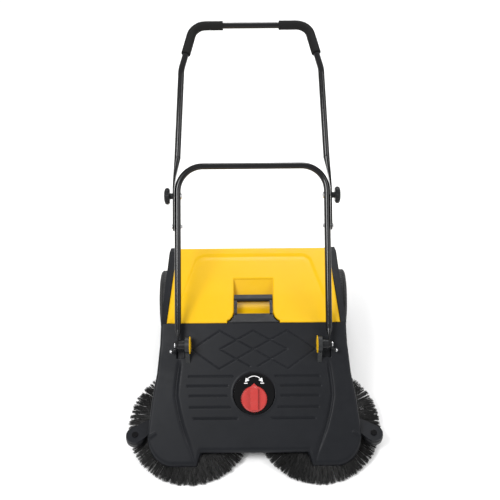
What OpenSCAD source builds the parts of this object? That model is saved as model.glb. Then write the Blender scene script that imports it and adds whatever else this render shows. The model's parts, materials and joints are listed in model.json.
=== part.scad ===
// Walk-behind push sweeper with two tilted disc brushes, a roller brush and a lift-out hopper.
// +X is to the right seen from the front, -Y is the front, +Z is up, and the floor is z = 0.
// The origin is on the floor, under the middle of the bounding box.

/* [Body] */
// Half width of the front cover at its rear edge
cover_half_rear = 277; // [265:1:290]
// Half width of the front cover at its widest
cover_half_front = 315; // [300:1:330]
// Place of the cover's rear edge
cover_rear_y = -182; // [-190:1:-176]
// Height of the cover's rear edge
cover_rear_z = 285; // [275:1:300]
// Slope of the cover in degrees
cover_slope = 36.3; // [34:0.1:38]
// Front edge of the cover between its lobes
cover_front_y = -482; // [-500:1:-476]
// Length of the lobes in front of that edge
lobe_len = 30; // [20:1:34]
// Wall of the moulded covers
wall = 4; // [3:0.5:5]

/* [Wheels] */
// Radius of a wheel
wheel_r = 100; // [85:1:120]
// Width of a tyre
tyre_w = 34; // [28:1:40]
// Place of the wheel axle
axle_y = 76; // [66:1:90]
// Radius of the axle stub
axle_r = 8; // [6:0.5:10]

/* [Disc brushes] */
// Radius over the bristle tips
brush_r = 190; // [155:1:192]
// Distance of a brush's axis from the middle
brush_x = 191.5; // [190:0.5:225]
// Place of a brush's axis
brush_y = -376; // [-380:1:-362]
// Tilt of the brushes, front down, in degrees
brush_tilt = 11.6; // [9:0.1:12.5]
// Radius of the brush plate
plate_r = 80; // [66:1:92]

/* [Roller brush] */
// Radius over the roller's bristles
roller_r = 65; // [54:1:68]
// Place of the roller's axis
roller_y = -115; // [-118:1:-108]
// Radius of the roller's core
core_r = 30; // [25:1:36]

/* [Hopper] */
// Half width of the hopper's top at the front
hopper_half_front = 259; // [248:1:262]
// Half width of the hopper's top at the rear
hopper_half_rear = 241; // [232:1:246]
// Place of the hopper's top rear edge
hopper_rear_y = 104; // [90:1:110]
// Rise of the hopper's top towards the rear
hopper_rise = 30; // [15:1:32]
// Wall of the hopper
hopper_wall = 3.5; // [2.5:0.5:5]

/* [Handle] */
// Half distance between the lower legs
leg_x = 222.5; // [216:0.5:224]
// Radius of the handle tube
tube_r = 9.5; // [8:0.5:11]
// Wall of the handle tube
tube_wall = 1.5; // [1:0.1:2]
// Lean of the legs from upright in degrees
handle_lean = 49; // [44:1:54]
// Extra bend of the top part in degrees
top_bend = 20; // [10:1:30]
// Distance from the pivot to the fold screw
fold_s = 351; // [330:1:370]
// Distance from the pivot to the knob
knob_s = 442; // [432:1:452]
// Distance from the pivot to the lower crossbar
bar_s = 531; // [520:1:545]
// Distance from the pivot to the bend
bend_s = 823; // [700:1:950]
// Distance from the bend to the top bar
top_q = 166; // [140:1:200]
// Half distance between the upper legs at the bend
bend_x = 211; // [200:1:216]
// Inward lean of the upper legs above the bend, in degrees
lean_in = 12; // [0:1:14]
// Radius over the foam grips
foam_r = 14; // [12.5:0.5:17]
// Place of the handle pivot
pivot_y = -251; // [-256:1:-246]
// Height of the handle pivot
pivot_z = 268; // [266:1:276]

/* [Knobs] */
// Radius of a clamping knob
knob_r = 25; // [20:1:28]
// Radius of the height knob
dial_r = 39; // [32:1:44]

/* [Hidden] */
// Clearances
run = 0.05;      // a shaft in its bore, on the radius
gap = 0.4;       // faces that turn or slide past each other
seam = 1.5;      // visible joint between mouldings
fine = 64;

// Directions
slope_t = tan(cover_slope);
tip_h = 10;                                  // bristle depth at the tips
brush_z = brush_r * sin(brush_tilt);         // tips touch the floor in front
leg_a = 90 - handle_lean;

// Bounding box along Y, and the shift that puts the origin under its middle
front_end = brush_y - brush_r * cos(brush_tilt) - tip_h * sin(brush_tilt);
top_y = pivot_y + bend_s * sin(handle_lean) + top_q * sin(handle_lean + top_bend);
rear_end = top_y + foam_r;
y_mid = (front_end + rear_end) / 2;

// Cover outline
lobe_y = cover_front_y - lobe_len;
lobe_in = 158;
lobe_slant = 12;
lobe_corner = 76;
skirt_low = 33;              // height of the lobes' lower edge
front_low = 54;              // height of the front edge between the lobes

// Roller and drive line
roller_z = roller_r;
axle_z = wheel_r;
tub_in = 229;
tub_wall = 4;
tub_out = tub_in + tub_wall;
tub_floor_z = 30;
jack_y = -150;
jack_z = 150;
shaft_r = 5;
belt_b0 = tub_out + 3;      // plane of the brush belt
belt_w = 10;
belt_a0 = belt_b0 + belt_w + 3;   // plane of the drive belt
belt_t = 3;
wheel_pulley_r = 32;
roller_pulley_r = 20;
jack_big_r = 20;
jack_small_r = 16;
bevel_pulley_r = 12.8;

// Crown gear and pinion of a disc brush, in the brush's own tilted frame
plate_z = 24;
plate_t = 8;
crown_r = 30;
crown_z = 42;
tooth_h = 3.6;
pitch_z = crown_z + 2;
pinion_r = 12;
shaft_z = pitch_z + pinion_r;
pinion_teeth = 12;
crown_teeth = 30;
spindle_r = 6;
bracket_z = crown_z + tooth_h + 2;
bristle_gap = 6;

// Wheel
wheel_in = cover_half_rear - 6;
wheel_out = wheel_in + tyre_w;
axle_end = wheel_out + 4;
rim_r = wheel_r - 22;

// Hopper
hopper_low = tub_in - 3;
flange = 10;
pocket_half = 60;
pocket_y0 = cover_rear_y + 38;
pocket_y1 = cover_rear_y + 164;
pocket_d = 34;
hopper_floor = tub_floor_z + tub_wall + gap;
top_t = hopper_rise / (hopper_rear_y - cover_rear_y);
hinge_y = cover_rear_y + 6;
hinge_z = cover_rear_z - 5;
bail_bar_y = cover_rear_y + 101;
bail_w = 24;

// Pivot stack, measured from the middle outwards
cap_x = 184.5;
cap_t = 4;
ear_x = cap_x + cap_t;
ear_t = 13;
hub_x = ear_x + ear_t + gap;
hub_r = 15;
flat_t = 4;
flat_x = leg_x - flat_t / 2;
lever_x = leg_x + flat_t / 2 + gap;
lever_t = 5;
bolt_r = 6;
bolt_end = lever_x + lever_t + gap;
ear_r = 24;
cap_r = 26;

// Knob stack
pad_x = leg_x + tube_r + gap;
pad_t = 4;
pad_half = 13;
knob_x = pad_x + pad_t + gap;
neck_r = 9;
neck_l = 9;
cap_l = 16;
m8_r = 4;
screw_r = 3.5;

// Height knob on the cover
dial_s = 208;                 // down the slope, from the cover's rear edge
dial_plate_r = 60;
knob_off = 16;                // knob centre below the plate's centre
dial_z = -6;                  // floor of the round recess under the cover's surface
pin_r = 8;

// Wings and guide rollers
guide_x = cover_half_front + 37;
guide_y = lobe_y + 79;
guide_r = 28;
guide_h = 20;
guide_z = 51;
wing_t = 6;

// ---- helpers ----

module centred() translate([0, -y_mid, 0]) children();

module on_side(side) {
    if (side < 0) mirror([1, 0, 0]) children();
    else children();
}

module rod_x(x0, x1, y, z, r)
    translate([x0, y, z]) rotate([0, 90, 0]) cylinder(h = x1 - x0, r = r, $fn = fine);

module profile_x(x0, x1)
    translate([x0, 0, 0]) rotate([90, 0, 90]) linear_extrude(x1 - x0) children();

module rod(p, q, r) {
    d = q - p;
    l = norm(d);
    translate(p) rotate([0, acos(d[2] / l), atan2(d[1], d[0])]) cylinder(h = l, r = r, $fn = fine);
}

module brush_frame() translate([brush_x, brush_y, brush_z]) rotate([brush_tilt, 0, 0]) children();

module handle_frame() translate([0, pivot_y, pivot_z]) rotate([leg_a, 0, 0]) children();

module bend_frame() handle_frame() translate([0, bend_s, 0]) rotate([-top_bend, 0, 0]) children();

// Frame on the cover's slope: local x across, local y up the slope, local z out of the surface
module cover_frame(s) translate([0, cover_rear_y - s * cos(cover_slope),
    cover_rear_z - s * sin(cover_slope)]) rotate([cover_slope, 0, 0]) children();

function cover_z(y) = cover_rear_z + (y - cover_rear_y) * slope_t;
function skirt_z(y) = skirt_low + (y - lobe_y) * tan(brush_tilt);
function top_z(y) = cover_rear_z + (y - cover_rear_y) * top_t;

// ---- front cover ----

// Half of the plan outline, drawn inset by d from the outer surface
function cover_half(d) = [
    [0, cover_rear_y],
    [cover_half_rear - d, cover_rear_y],
    [cover_half_rear + 2 - d, cover_rear_y - 46],
    [cover_half_rear + 11 - d, cover_rear_y - 113],
    [cover_half_front - 12 - d, cover_rear_y - 180],
    [cover_half_front - d, lobe_y + lobe_corner + 6],
    for (a = [0 : 15 : 90]) [cover_half_front - lobe_corner + (lobe_corner - d) * cos(a),
        lobe_y + lobe_corner - (lobe_corner - d) * sin(a)],
    [lobe_in + lobe_slant + d, lobe_y + d],
    [lobe_in + d, cover_front_y + d],
    [0, cover_front_y + d]];

module cover_plan(d) {
    polygon(cover_half(d));
    mirror([1, 0]) polygon(cover_half(d));
}

module cover_solid(d) intersection() {
    linear_extrude(cover_rear_z + 1) cover_plan(d);
    profile_x(-400, 400) polygon([
        [cover_rear_y, 0],
        [cover_rear_y, cover_rear_z - d / cos(cover_slope)],
        [lobe_y - 10, cover_z(lobe_y - 10) - d / cos(cover_slope)],
        [lobe_y - 10, 0]]);
}

module brush_room() for (side = [-1, 1]) on_side(side) brush_frame() rotate_extrude($fn = 96) polygon([
    [0, -60], [brush_r + 4, -60], [brush_r + 4, tip_h + bristle_gap],
    [plate_r + 12, plate_z + plate_t + bristle_gap], [0, plate_z + plate_t + bristle_gap]]);

module dial_room(extra) cover_frame(dial_s) translate([0, 0, dial_z - extra])
    cylinder(h = 30 + extra, r = dial_plate_r + seam, $fn = fine);

module front_cover() color([0.20, 0.21, 0.23]) difference() {
    union() {
        difference() {
            cover_solid(0);
            translate([0, -0.01, -1]) cover_solid_open();
        }
        // Round well that carries the dial plate
        intersection() {
            cover_solid(0);
            cover_frame(dial_s) translate([0, 0, dial_z - wall])
                cylinder(h = 40, r = dial_plate_r + seam + 3, $fn = fine);
        }
        // Screw posts at the four corners
        for (side = [-1, 1], p = screw_places) intersection() {
            cover_solid(0);
            translate([side * p[0], p[1], cover_z(p[1]) - 40]) cylinder(h = 60, r = 9, $fn = fine);
        }
    }
    brush_room();
    dial_room(0);
    // Lower edge, parallel to the brushes
    profile_x(-400, 400) polygon([[lobe_y - 20, -20], [lobe_y - 20, skirt_z(lobe_y - 20)],
        [cover_rear_y + 9, skirt_z(cover_rear_y + 9)], [cover_rear_y + 9, -20]]);
    translate([-lobe_in + 10, cover_front_y - 1, 0]) cube([2 * lobe_in - 20, wall + 1.5, front_low]);
    cover_frame(dial_s) translate([0, -knob_off, -30]) cylinder(h = 60, r = pin_r + 0.6, $fn = fine);
    for (side = [-1, 1], p = screw_places) translate([side * p[0], p[1], cover_z(p[1]) - 60])
        cylinder(h = 90, r = 2.5, $fn = fine);
}

// The hollow under the cover, open at the bottom and at the rear
module cover_solid_open() {
    translate([0, 0, 0.99]) cover_solid(wall);
    translate([-cover_half_rear + wall, cover_rear_y - 6, -1])
        cube([2 * (cover_half_rear - wall), 12, cover_rear_z - wall * 2]);
}

screw_places = [[250, cover_rear_y - 18], [13, cover_front_y + 24]];

module cover_screws() color("silver") for (side = [-1, 1], p = screw_places)
    translate([side * p[0], p[1], cover_z(p[1]) - 40]) {
        cylinder(h = 22, r = 2.5 - run, $fn = fine);
        translate([0, 0, -3]) cylinder(h = 3, r = 5, $fn = fine);
    }

module dial_plate() color([0.03, 0.03, 0.03]) cover_frame(dial_s) difference() {
    translate([0, 0, dial_z]) cylinder(h = 3, r = dial_plate_r, $fn = fine);
    translate([0, -knob_off, dial_z - 1]) cylinder(h = 6, r = pin_r + 0.6, $fn = fine);
}

// ---- side panels ----

module panel_plan(d, inner) polygon([
    [hopper_half_front + seam - inner, cover_rear_y + gap],
    [cover_half_rear - d, cover_rear_y + gap],
    [cover_half_rear - 11 - d, axle_y + 10],
    [hopper_half_rear + 20 - d, hopper_rear_y + 20],
    [hopper_half_rear + 9 - d, hopper_rear_y + 36],
    [hopper_half_rear + seam - inner, hopper_rear_y + 36]]);

module panel_profile(d) polygon([
    [cover_rear_y - 1, 62],
    [cover_rear_y - 1, top_z(cover_rear_y) - d],
    [hopper_rear_y - 12, top_z(hopper_rear_y - 12) - d],
    [hopper_rear_y + 12, top_z(hopper_rear_y) - 8 - d],
    [hopper_rear_y + 28, top_z(hopper_rear_y) - 26 - d],
    [hopper_rear_y + 37, top_z(hopper_rear_y) - 60],
    [hopper_rear_y + 37, 90],
    [hopper_rear_y + 20, 62]]);

module side_panel(side) color([0.20, 0.21, 0.23]) on_side(side) difference() {
    intersection() {
        linear_extrude(cover_rear_z + 60) panel_plan(0, 0);
        profile_x(0, 400) panel_profile(0);
    }
    intersection() {
        translate([0, 0, -1]) linear_extrude(cover_rear_z + 60) panel_plan(wall, 60);
        profile_x(0, 400) panel_profile(wall);
    }
    translate([0, 0, -1]) linear_extrude(64) panel_plan(wall, 60);
    rod_x(200, 330, axle_y, axle_z, 16);
}

// ---- chassis tub ----

module tub_profile() polygon([
    [cover_rear_y + 1, 90],
    [cover_rear_y + 1, cover_rear_z - 60],
    [-60, 190],
    [hopper_rear_y + 30, 190],
    [hopper_rear_y + 36, 60],
    [hopper_rear_y + 20, tub_floor_z],
    [roller_y, 20],
    [roller_y - 40, 34]]);

module chassis_tub() color([0.16, 0.17, 0.18]) difference() {
    union() {
        for (side = [-1, 1]) on_side(side) {
            profile_x(tub_in, tub_out) tub_profile();
            rod_x(tub_in, tub_out + 2, axle_y, axle_z, 16);
            // Lugs that tie the tub to the panels and the cover
            translate([tub_in, cover_rear_y + 10, 200]) cube([cover_half_rear - wall - tub_in - 1, 30, 8]);
            translate([tub_in, hopper_rear_y, 150]) cube([hopper_half_rear + 10 - tub_in, 20, 8]);
            // Outer bearing of the jack shaft
            translate([belt_a0 + belt_w + 2, jack_y - 12, jack_z - 12]) cube([6, 24, 62]);
            translate([tub_in, jack_y - 12, jack_z + 42]) cube([belt_a0 + belt_w + 8 - tub_in, 24, 8]);
        }
        // Floor under the hopper, and the ramp behind the roller
        translate([-tub_in - 1, -42, tub_floor_z]) cube([2 * tub_in + 2, hopper_rear_y + 66, tub_wall]);
        profile_x(-tub_in - 1, tub_in + 1)
            polygon([[-44, 22], [-38, 22], [-30, tub_floor_z + 1], [-42, tub_floor_z + 4]]);
        // Cross member in front of the roller, under the rear edge of the cover
        translate([-tub_in - 1, cover_rear_y + 1, 150]) cube([2 * tub_in + 2, 4, 90]);
    }
    for (side = [-1, 1]) on_side(side) {
        rod_x(tub_in - 10, tub_out + 30, roller_y, roller_z, axle_r + run);
        rod_x(tub_in - 10, belt_a0 + belt_w + 20, jack_y, jack_z, shaft_r + run);
        rod_x(tub_in - 10, tub_out + 30, axle_y, axle_z, axle_r);
    }
}

module dirt_lip() color([0.08, 0.08, 0.08]) translate([-tub_in + 4, -46, 2])
    cube([2 * tub_in - 8, 2, 26]);

// ---- wings and guide rollers ----

module wing(side) color([0.18, 0.19, 0.21]) on_side(side) difference() {
    union() {
        hull() {
            translate([guide_x, guide_y, guide_z + guide_h + gap])
                cylinder(h = wing_t, r = guide_r - 1, $fn = 32);
            translate([cover_half_front - 14, guide_y + 52, guide_z + guide_h + gap]) cube([4, 6, wing_t]);
            translate([cover_half_front - 14, guide_y + 12, guide_z + guide_h + gap]) cube([4, 6, wing_t]);
        }
    }
    cover_solid(0);
    translate([guide_x, guide_y, 0]) cylinder(h = 200, r = 5, $fn = fine);
}

module guide_pins() color("silver") for (side = [-1, 1]) on_side(side) translate([guide_x, guide_y, 0]) {
    translate([0, 0, guide_z - 2]) cylinder(h = guide_h + wing_t + 3, r = 5, $fn = fine);
    translate([0, 0, guide_z - 4 - gap]) cylinder(h = 4, r = 9, $fn = fine);
    translate([0, 0, guide_z + guide_h + gap + wing_t]) cylinder(h = 3, r = 9, $fn = fine);
}

module guide_roller(side) color([0.12, 0.12, 0.13]) on_side(side) translate([guide_x, guide_y, guide_z])
    difference() {
        rotate_extrude($fn = fine) polygon([[0, 0], [guide_r - 3, 0], [guide_r, 3], [guide_r, guide_h - 3],
            [guide_r - 3, guide_h], [0, guide_h]]);
        translate([0, 0, -1]) cylinder(h = guide_h + 2, r = 5 + run, $fn = fine);
    }

// ---- handle pivots ----

module pivot_ear(side) color([0.30, 0.31, 0.33]) on_side(side) difference() {
    union() {
        rod_x(ear_x, ear_x + ear_t, pivot_y, pivot_z, ear_r);
        difference() {
            profile_x(ear_x, ear_x + ear_t) polygon([
                [pivot_y - 26, cover_z(pivot_y - 26)], [pivot_y - 16, pivot_z],
                [pivot_y + 16, pivot_z], [pivot_y + 22, cover_z(pivot_y + 22)]]);
            cover_solid(0);
        }
    }
    rod_x(0, 300, pivot_y, pivot_z, bolt_r);
}

module pivot_cap(side) color([0.98, 0.82, 0.18]) on_side(side) translate([cap_x, pivot_y, pivot_z])
    rotate([0, 90, 0]) rotate_extrude($fn = fine) polygon([
        [0, 0], for (a = [10 : 10 : 70]) [cap_r * sin(a) * 0.98, 2.6 * (1 - cos(a))],
        [cap_r, 2.6], [cap_r, cap_t], [0, cap_t]]);

module pivot_bolts() color("silver") for (side = [-1, 1]) on_side(side) {
    rod_x(ear_x, bolt_end, pivot_y, pivot_z, bolt_r);
    rod_x(bolt_end, bolt_end + 3, pivot_y, pivot_z, bolt_r + 1.5);
}

module clamp_lever(side) color([0.12, 0.12, 0.13]) on_side(side) difference() {
    union() {
        rod_x(lever_x, lever_x + lever_t, pivot_y, pivot_z, 11);
        rod([lever_x + 3, pivot_y - 7, pivot_z - 7], [lever_x + 14, pivot_y - 12, pivot_z - 12], 4);
        rod([lever_x + 10, pivot_y - 12.7, pivot_z - 12.7], [lever_x + 20, pivot_y - 12.7, pivot_z - 12.7],
            5.5);
    }
    rod_x(0, 300, pivot_y, pivot_z, bolt_r + run);
    rod_x(lever_x + lever_t, 300, pivot_y, pivot_z, bolt_r + 2.6);
}

// ---- handle ----

module lower_path(r) {
    for (side = [-1, 1]) {
        translate([side * leg_x, 44, 0]) rotate([-90, 0, 0]) cylinder(h = bar_s - 75 - 44, r = r, $fn = fine);
        translate([side * (leg_x - 75), bar_s - 75, 0]) rotate([0, 0, side > 0 ? 0 : 90])
            rotate_extrude(angle = 90, $fn = fine) translate([75, 0]) circle(r = r, $fn = fine);
    }
    translate([-leg_x + 75, bar_s, 0]) rotate([0, 90, 0]) cylinder(h = 2 * leg_x - 150, r = r, $fn = fine);
}

module lower_handle() color([0.04, 0.04, 0.045]) handle_frame() difference() {
    union() {
        difference() {
            lower_path(tube_r);
            lower_path(tube_r - tube_wall);
        }
        for (side = [-1, 1]) on_side(side) {
            // Flattened end, and the round eye that the hub is fixed to
            translate([flat_x, 0, 0]) rotate([0, 90, 0]) cylinder(h = flat_t, r = 13, $fn = fine);
            hull() {
                translate([flat_x, 0, -9]) cube([flat_t, 26, 18]);
                translate([flat_x, 20, -10]) cube([flat_t, 4, 20]);
            }
            hull() {
                translate([flat_x, 22, -10]) cube([flat_t, 2, 20]);
                translate([leg_x, 44, 0]) rotate([-90, 0, 0]) cylinder(h = 3, r = tube_r, $fn = 32);
            }
        }
    }
    for (side = [-1, 1]) on_side(side) {
        translate([leg_x - 20, 0, 0]) rotate([0, 90, 0]) cylinder(h = 40, r = bolt_r + run, $fn = fine);
        translate([leg_x - 20, knob_s, 0]) rotate([0, 90, 0]) cylinder(h = 40, r = m8_r, $fn = fine);
        translate([leg_x - 20, fold_s, 0]) rotate([0, 90, 0]) cylinder(h = 40, r = screw_r, $fn = fine);
    }
}

module hub(side) color([0.10, 0.10, 0.11]) on_side(side) difference() {
    rod_x(hub_x, flat_x, pivot_y, pivot_z, hub_r);
    rod_x(0, 300, pivot_y, pivot_z, bolt_r + run);
}

module carriage_bolts() color("silver") handle_frame() for (side = [-1, 1]) on_side(side)
    translate([0, knob_s, 0]) rotate([0, 90, 0]) {
        translate([0, 0, leg_x - tube_r])
            cylinder(h = knob_x + neck_l + 4 - leg_x + tube_r, r = m8_r, $fn = fine);
        translate([0, 0, leg_x - tube_r - 5]) rotate_extrude($fn = fine)
            polygon([[0, 0], [5, 0.6], [8, 2], [10, 5], [0, 5]]);
    }

module fold_screws() color("silver") handle_frame() for (side = [-1, 1]) on_side(side)
    translate([0, fold_s, 0]) rotate([0, 90, 0]) {
        translate([0, 0, leg_x - tube_r - 4])
            cylinder(h = pad_x + pad_t + gap - leg_x + tube_r + 4, r = screw_r, $fn = fine);
        translate([0, 0, pad_x + pad_t + gap]) cylinder(h = 3.5, r = 6.5, $fn = fine);
        translate([0, 0, leg_x - tube_r - 5]) cylinder(h = 5, r = 6.5, $fn = 6);
    }

tube_start = bar_s + 28;
corner_r = 46;
tube_sides = 20;

// Corner between a leaning leg and the top bar, in the bent plane
corner_q = top_q - corner_r;
leg_top_q = corner_q + corner_r * sin(lean_in);
corner_x = bend_x - leg_top_q * tan(lean_in) - corner_r * cos(lean_in);

// Middle line of the upper tube, from the foot of its right leg to the middle of the top bar.
// Each station is a point and the tube's upward direction there.
bend_t = 14;                       // straight length that the bend takes from each side
function bent(x, q) = [[x, bend_s + q * cos(top_bend), -q * sin(top_bend)], [0, sin(top_bend),
    cos(top_bend)]];
bend_a = [bend_x, bend_s - bend_t, 0];
bend_b = [bend_x, bend_s, 0];
bend_c = bent(bend_x - bend_t * sin(lean_in), bend_t * cos(lean_in))[0];
half_line = concat(
    [[[leg_x, tube_start, 0], [0, 0, 1]]],
    [for (t = [0 : 0.25 : 1]) [(1 - t) * (1 - t) * bend_a + 2 * t * (1 - t) * bend_b + t * t * bend_c,
        [0, sin(top_bend * t), cos(top_bend * t)]]],
    [for (a = [0 : (90 - lean_in) / 8 : 90 - lean_in + 0.01]) bent(corner_x + corner_r * cos(lean_in + a),
        corner_q + corner_r * sin(lean_in + a))]);
half_n = len(half_line);
function mirrored(s) = [[-s[0][0], s[0][1], s[0][2]], s[1]];
tube_line = concat(half_line, [for (i = [half_n - 1 : -1 : 0]) mirrored(half_line[i])]);
tube_n = len(tube_line);
function along(i) = i == 0 ? [0, 1, 0] : i == tube_n - 1 ? [0, -1, 0]
    : let(d = tube_line[i + 1][0] - tube_line[i - 1][0]) d / norm(d);
tube_points = [for (i = [0 : tube_n - 1], k = [0 : tube_sides - 1]) let(a = k * 360 / tube_sides,
    up = tube_line[i][1])
    tube_line[i][0] + tube_r * (cos(a) * cross(up, along(i)) + sin(a) * up)];
function ring(i, k) = i * tube_sides + k % tube_sides;

module upper_handle() color([0.04, 0.04, 0.045]) handle_frame() polyhedron(tube_points, concat(
    [[for (k = [0 : tube_sides - 1]) k]],
    [for (i = [0 : tube_n - 2], k = [0 : tube_sides - 1]) [ring(i, k), ring(i + 1, k), ring(i, k + 1)]],
    [for (i = [0 : tube_n - 2], k = [0 : tube_sides - 1]) [ring(i + 1, k), ring(i + 1, k + 1), ring(i,
        k + 1)]],
    [[for (k = [tube_sides - 1 : -1 : 0]) ring(tube_n - 1, k)]]));

// Flattened lower end of the upper tube, with the fold screw's hole and the open slot for the knob's bolt
module upper_end(side) color([0.04, 0.04, 0.045]) handle_frame() on_side(side) difference() {
    union() {
        translate([pad_x, fold_s, 0]) rotate([0, 90, 0]) cylinder(h = pad_t, r = pad_half, $fn = fine);
        translate([pad_x, fold_s, -pad_half]) cube([pad_t, knob_s + 24 - fold_s, 2 * pad_half]);
        hull() {
            translate([pad_x, knob_s + 22, -pad_half]) cube([pad_t, 2, 2 * pad_half]);
            translate([pad_x - 6, bar_s - 30, -11]) cube([pad_t + 4, 2, 22]);
        }
        hull() {
            translate([pad_x - 6, bar_s - 30, -11]) cube([pad_t + 4, 2, 22]);
            translate([leg_x, tube_start - 3, 0]) rotate([-90, 0, 0]) cylinder(h = 3, r = tube_r, $fn = 32);
        }
    }
    translate([leg_x - 2, fold_s, 0]) rotate([0, 90, 0]) cylinder(h = 40, r = screw_r + run, $fn = fine);
    translate([leg_x - 2, knob_s, 0]) rotate([0, 90, 0]) cylinder(h = 40, r = m8_r + 1.2, $fn = fine);
    translate([leg_x - 2, knob_s - m8_r - 1.2, -pad_half - 1]) cube([40, 2 * m8_r + 2.4, pad_half + 1]);
}

module grip(side) color([0.07, 0.07, 0.07]) on_side(side) bend_frame() difference() {
    grip_path(foam_r);
    grip_path(tube_r + gap);
}

grip_len = 72;                     // foam on the leg, below the corner
grip_end = 86;
module grip_path(r) {
    translate([corner_x, corner_q, 0]) rotate([0, 0, lean_in]) {
        translate([corner_r, 0, 0]) rotate([90, 0, 0]) cylinder(h = grip_len, r = r, $fn = fine);
        rotate_extrude(angle = 90 - lean_in, $fn = fine) translate([corner_r, 0]) circle(r = r, $fn = fine);
    }
    translate([grip_end, top_q, 0]) rotate([0, 90, 0]) cylinder(h = corner_x - grip_end, r = r, $fn = fine);
}

module knob(side) color([0.06, 0.06, 0.065]) handle_frame() on_side(side) translate([knob_x, knob_s, 0])
    rotate([0, 90, 0]) difference() {
        union() {
            cylinder(h = neck_l, r = neck_r, $fn = fine);
            translate([0, 0, neck_l]) rotate_extrude($fn = fine)
                polygon([[0, 0], [knob_r - 4, 0], [knob_r, 4],
                [knob_r, cap_l - 6], [knob_r - 3, cap_l - 2], [knob_r - 10, cap_l], [0, cap_l]]);
        }
        translate([0, 0, -1]) cylinder(h = neck_l + 5.2, r = m8_r + run, $fn = fine);
        for (a = [0 : 45 : 315]) rotate([0, 0, a]) translate([knob_r + 4, 0, neck_l - 1])
            cylinder(h = cap_l + 2, r = 6, $fn = fine);
    }

// ---- wheels ----

module wheel(side) color([0.14, 0.14, 0.15]) on_side(side) difference() {
    union() {
        translate([wheel_in, axle_y, axle_z]) rotate([0, 90, 0]) rotate_extrude($fn = fine) polygon([
            [0, 0], [24, 0], [24, 10], [rim_r - 8, 10], [rim_r - 6, 1], [rim_r, 1], [rim_r, tyre_w - 1],
            [rim_r - 6, tyre_w - 1], [rim_r - 10, 16], [24, 16], [24, tyre_w - 6], [0, tyre_w - 6]]);
        rod_x(belt_a0 + belt_w, wheel_in, axle_y, axle_z, 13);
        rod_x(belt_a0, belt_a0 + belt_w, axle_y, axle_z, wheel_pulley_r - gap);
        rod_x(belt_a0 - 4, belt_a0, axle_y, axle_z, wheel_pulley_r - 14);
    }
    rod_x(200, 400, axle_y, axle_z, axle_r + run);
    for (a = [0 : 60 : 300]) translate([0, axle_y, axle_z]) rotate([a, 0, 0])
        rod_x(wheel_in - 1, wheel_out + 1, 0, 49, 13);
}

module tyre(side) color([0.09, 0.09, 0.09]) on_side(side) difference() {
    translate([wheel_in, axle_y, axle_z]) rotate([0, 90, 0]) rotate_extrude($fn = fine) polygon([
        [rim_r, 0], [wheel_r - 12, 0], [wheel_r - 4, 4], [wheel_r, 11], [wheel_r, tyre_w - 11],
        [wheel_r - 4, tyre_w - 4], [wheel_r - 12, tyre_w], [rim_r, tyre_w]]);
    rod_x(200, 400, axle_y, axle_z, rim_r);
}

module hub_cap(side) color([0.12, 0.12, 0.13]) on_side(side) difference() {
    translate([wheel_out - 6, axle_y, axle_z]) rotate([0, 90, 0]) rotate_extrude($fn = fine) polygon([
        [0, 0], [22, 0], [22, 4], [18, 9], [10, 12], [0, 12]]);
    rod_x(200, axle_end + 1, axle_y, axle_z, axle_r + 1);
}

module axle_stubs() color("silver") for (side = [-1, 1]) on_side(side)
    rod_x(tub_in, axle_end, axle_y, axle_z, axle_r);

// ---- drive line ----

module loop_2d(circles, grow) hull() for (c = circles) translate([c[0], c[1]])
    circle(r = c[2] + grow, $fn = 48);

bevel_y = brush_y - shaft_z * sin(brush_tilt);
bevel_z = brush_z + shaft_z * cos(brush_tilt);
drive_loop = [[axle_y, axle_z, wheel_pulley_r], [roller_y, roller_z, roller_pulley_r], [jack_y, jack_z,
    jack_big_r]];
brush_loop = [[jack_y, jack_z, jack_small_r], [bevel_y, bevel_z, bevel_pulley_r]];

module belt(circles, x0) profile_x(x0 + 1, x0 + belt_w - 1) difference() {
    loop_2d(circles, belt_t);
    loop_2d(circles, 0);
}

module drive_belts() color([0.05, 0.05, 0.05]) for (side = [-1, 1]) on_side(side) belt(drive_loop, belt_a0);

module brush_belts() color([0.05, 0.05, 0.05]) for (side = [-1, 1]) on_side(side) belt(brush_loop, belt_b0);

module jack_shaft(side) color([0.75, 0.76, 0.78]) on_side(side) {
    rod_x(tub_in, belt_a0 + belt_w + 8, jack_y, jack_z, shaft_r);
    rod_x(belt_b0, belt_b0 + belt_w, jack_y, jack_z, jack_small_r - gap);
    rod_x(belt_a0, belt_a0 + belt_w, jack_y, jack_z, jack_big_r - gap);
}

module tooth(r0, r1, w0, w1, l) translate([0, 0, -l / 2]) linear_extrude(l)
    polygon([[r0, -w0], [r1, -w1], [r1, w1], [r0, w0]]);

module bevel_shaft(side) color([0.75, 0.76, 0.78]) on_side(side) brush_frame() translate([0, 0, shaft_z]) {
    rod_x(-crown_r - 12, belt_b0 + belt_w + 9 - brush_x, 0, 0, shaft_r);
    rod_x(belt_b0 - brush_x, belt_b0 + belt_w - brush_x, 0, 0, bevel_pulley_r - gap);
    rod_x(-crown_r - 8, -crown_r + 6, 0, 0, 7.5);
    rod_x(-crown_r - 3, -crown_r + 3, 0, 0, pinion_r - 2);
    for (k = [0 : pinion_teeth - 1]) translate([-crown_r, 0, 0]) rotate([0, 90, 0])
        rotate([0, 0, k * 360 / pinion_teeth]) tooth(pinion_r - 3, pinion_r + 1.7, 1.3, 0.7, 4);
}

module gear_bracket(side) color([0.16, 0.17, 0.18]) on_side(side) difference() {
    intersection() {
        brush_frame() union() {
            translate([-10, -16, bracket_z]) cube([20, 32, 90]);
            translate([belt_b0 + belt_w + 3 - brush_x, -16, shaft_z - 12]) cube([6, 32, 70]);
            translate([-10, -16, shaft_z + bevel_pulley_r + belt_t + 3])
                cube([belt_b0 + belt_w + 9 - brush_x + 10, 32, 5]);
        }
        cover_solid(wall);
    }
    brush_frame() {
        translate([0, 0, shaft_z]) rod_x(-30, 90, 0, 0, shaft_r + run);
        cylinder(h = bracket_z + 2.5, r = spindle_r, $fn = fine);
    }
}

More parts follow.
